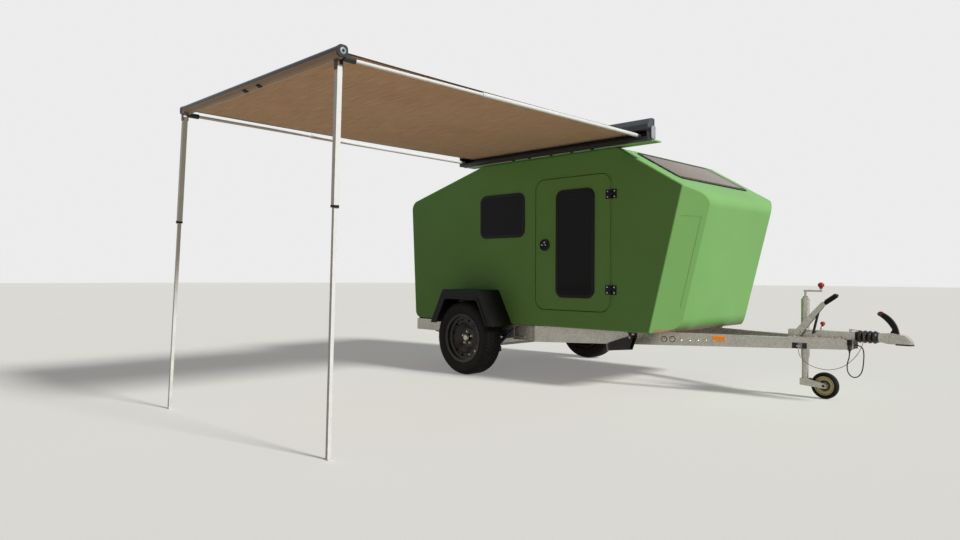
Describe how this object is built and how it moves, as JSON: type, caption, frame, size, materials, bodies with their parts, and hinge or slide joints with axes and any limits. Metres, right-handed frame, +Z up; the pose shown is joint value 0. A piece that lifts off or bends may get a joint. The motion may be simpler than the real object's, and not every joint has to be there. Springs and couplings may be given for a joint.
{
  "type": "teardrop camping trailer with side awning",
  "caption": "Small hard-shell sleeping trailer with a hexagonal side profile, side doors, rear hatch, V drawbar, jockey wheel and opened side awning.",
  "frame": {"origin": "on the ground, at the centre of the footprint of the trailer with its awning out", "axes": "+X forward to the coupling, +Y to the left, away from the awning, +Z up"},
  "size_m": [4.356, 4.618, 2.078],
  "materials": {
    "body_paint": "semi gloss",
    "galvanised": "spangled zinc",
    "black_plastic": "satin moulded",
    "black_paint": "satin",
    "seal_rubber": "matt",
    "tyre": "matt",
    "smoked_acrylic": "clear smoked",
    "floor_board": "sealed",
    "white_tube": "satin",
    "awning_cloth": "coated",
    "grey_plastic": "satin",
    "jockey_cream": "satin",
    "red_lens": "lens",
    "cord_jacket": "satin",
    "red_jacket": "satin",
    "blue_paint": "semi gloss"
  },
  "bodies": {
    "trailer": {"awning_arms": "white_tube", "awning_case": "black_paint", "awning_end_caps": "grey_plastic", "awning_fabric": "awning_cloth", "awning_lead_bar": "black_paint", "awning_roller": "awning_cloth", "axle_arms": "black_paint", "axle_beam": "galvanised", "axle_plates": "galvanised", "body_pads": "seal_rubber", "breakaway_cable": "red_jacket", "cabin_floor": "floor_board", "cabin_shell": "body_paint", "cable_plug": "grey_plastic", "chassis_frame": "galvanised", "coupling_handle": "black_plastic", "coupling_head": "galvanised", "door_surrounds": "seal_rubber", "drawbar_left": "galvanised", "drawbar_right": "galvanised", "electric_cable": "cord_jacket", "fenders": "black_plastic", "handbrake_lever": "galvanised", "handbrake_strut": "black_paint", "hinge_plates": "black_plastic", "jockey_clamp": "galvanised", "jockey_tube": "galvanised", "overrun_bellows": "seal_rubber", "overrun_housing": "galvanised", "plug_holder": "black_plastic", "shock_absorbers": "blue_paint", "side_wall_left": "body_paint", "side_wall_right": "body_paint", "steady_brackets": "black_paint", "tail_lights": "red_lens", "window_frames": "black_plastic", "window_panes": "smoked_acrylic"},
    "wheel_right": {"rim_right": "black_paint", "tyre_right": "tyre"},
    "door_right": {"door_pane_right": "smoked_acrylic", "door_right": "body_paint", "door_trim_right": "black_plastic"},
    "wheel_left": {"rim_left": "black_paint", "tyre_left": "tyre"},
    "door_left": {"door_left": "body_paint", "door_pane_left": "smoked_acrylic", "door_trim_left": "black_plastic"},
    "rear_hatch": {"rear_hatch": "body_paint"},
    "jockey_stem": {"jockey_stem": "galvanised"},
    "jockey_fork": {"jockey_fork": "galvanised"},
    "jockey_wheel": {"jockey_rim": "jockey_cream", "jockey_tyre": "tyre"},
    "steady_front_right": {"steady_front_right": "black_paint"},
    "steady_front_left": {"steady_front_left": "black_paint"},
    "steady_rear_right": {"steady_rear_right": "black_paint"},
    "steady_rear_left": {"steady_rear_left": "black_paint"},
    "awning_leg_front": {"awning_leg_front": "white_tube"},
    "awning_leg_foot_front": {"awning_leg_foot_front": "white_tube"},
    "awning_leg_rear": {"awning_leg_rear": "white_tube"},
    "awning_leg_foot_rear": {"awning_leg_foot_rear": "white_tube"}
  },
  "joints": [
    {"name": "wheel_right_spin", "type": "hinge", "parent": "trailer", "child": "wheel_right", "pos_m": [-1.16602, 0.3215, 0.332], "axis": [0, 1, 0], "continuous": true},
    {"name": "wheel_left_spin", "type": "hinge", "parent": "trailer", "child": "wheel_left", "pos_m": [-1.16602, 2.1865, 0.332], "axis": [0, 1, 0], "continuous": true},
    {"name": "door_right_swing", "type": "hinge", "parent": "trailer", "child": "door_right", "pos_m": [0.27798, 0.452, 1.17], "axis": [0, 0, 1], "range_deg": [0, 110]},
    {"name": "door_left_swing", "type": "hinge", "parent": "trailer", "child": "door_left", "pos_m": [0.27798, 2.056, 1.17], "axis": [0, 0, -1], "range_deg": [0, 110]},
    {"name": "rear_hatch_lift", "type": "hinge", "parent": "trailer", "child": "rear_hatch", "pos_m": [-2.16998, 1.254, 1.552], "axis": [0, 1, 0], "range_deg": [0, 95]},
    {"name": "jockey_raise", "type": "slide", "parent": "trailer", "child": "jockey_stem", "axis": [0, 0, 1], "range_m": [-0.06, 0.14]},
    {"name": "jockey_swivel", "type": "hinge", "parent": "jockey_stem", "child": "jockey_fork", "pos_m": [1.44398, 1.326, 0.15], "axis": [0, 0, 1], "continuous": true},
    {"name": "jockey_wheel_spin", "type": "hinge", "parent": "jockey_fork", "child": "jockey_wheel", "pos_m": [1.58598, 1.326, 0.098], "axis": [0, 1, 0], "continuous": true},
    {"name": "steady_front_right_drop", "type": "hinge", "parent": "trailer", "child": "steady_front_right", "pos_m": [0.44898, 0.514, 0.43], "axis": [-0.4724, -0.8814, 0], "range_deg": [-5, 66]},
    {"name": "steady_front_left_drop", "type": "hinge", "parent": "trailer", "child": "steady_front_left", "pos_m": [0.44898, 1.994, 0.43], "axis": [0.4724, -0.8814, 0], "range_deg": [-5, 66]},
    {"name": "steady_rear_right_drop", "type": "hinge", "parent": "trailer", "child": "steady_rear_right", "pos_m": [-1.97102, 0.614, 0.43], "axis": [0, 1, 0], "range_deg": [-5, 66]},
    {"name": "steady_rear_left_drop", "type": "hinge", "parent": "trailer", "child": "steady_rear_left", "pos_m": [-1.97102, 1.894, 0.43], "axis": [0, 1, 0], "range_deg": [-5, 66]},
    {"name": "awning_leg_rear_fold", "type": "hinge", "parent": "trailer", "child": "awning_leg_rear", "pos_m": [-1.16502, -2.291, 1.918], "axis": [0, -1, 0], "range_deg": [0, 96.5]},
    {"name": "awning_leg_rear_extend", "type": "slide", "parent": "awning_leg_rear", "child": "awning_leg_foot_rear", "axis": [0.1132, 0, 0.9936], "range_m": [-0.04, 0.55]},
    {"name": "awning_leg_front_fold", "type": "hinge", "parent": "trailer", "child": "awning_leg_front", "pos_m": [0.53598, -2.253, 1.918], "axis": [0, 1, 0], "range_deg": [-2.15, 87.85]},
    {"name": "awning_leg_front_extend", "type": "slide", "parent": "awning_leg_front", "child": "awning_leg_foot_front", "axis": [0.0375, 0, 0.9993], "range_m": [-0.04, 0.55]}
  ]
}
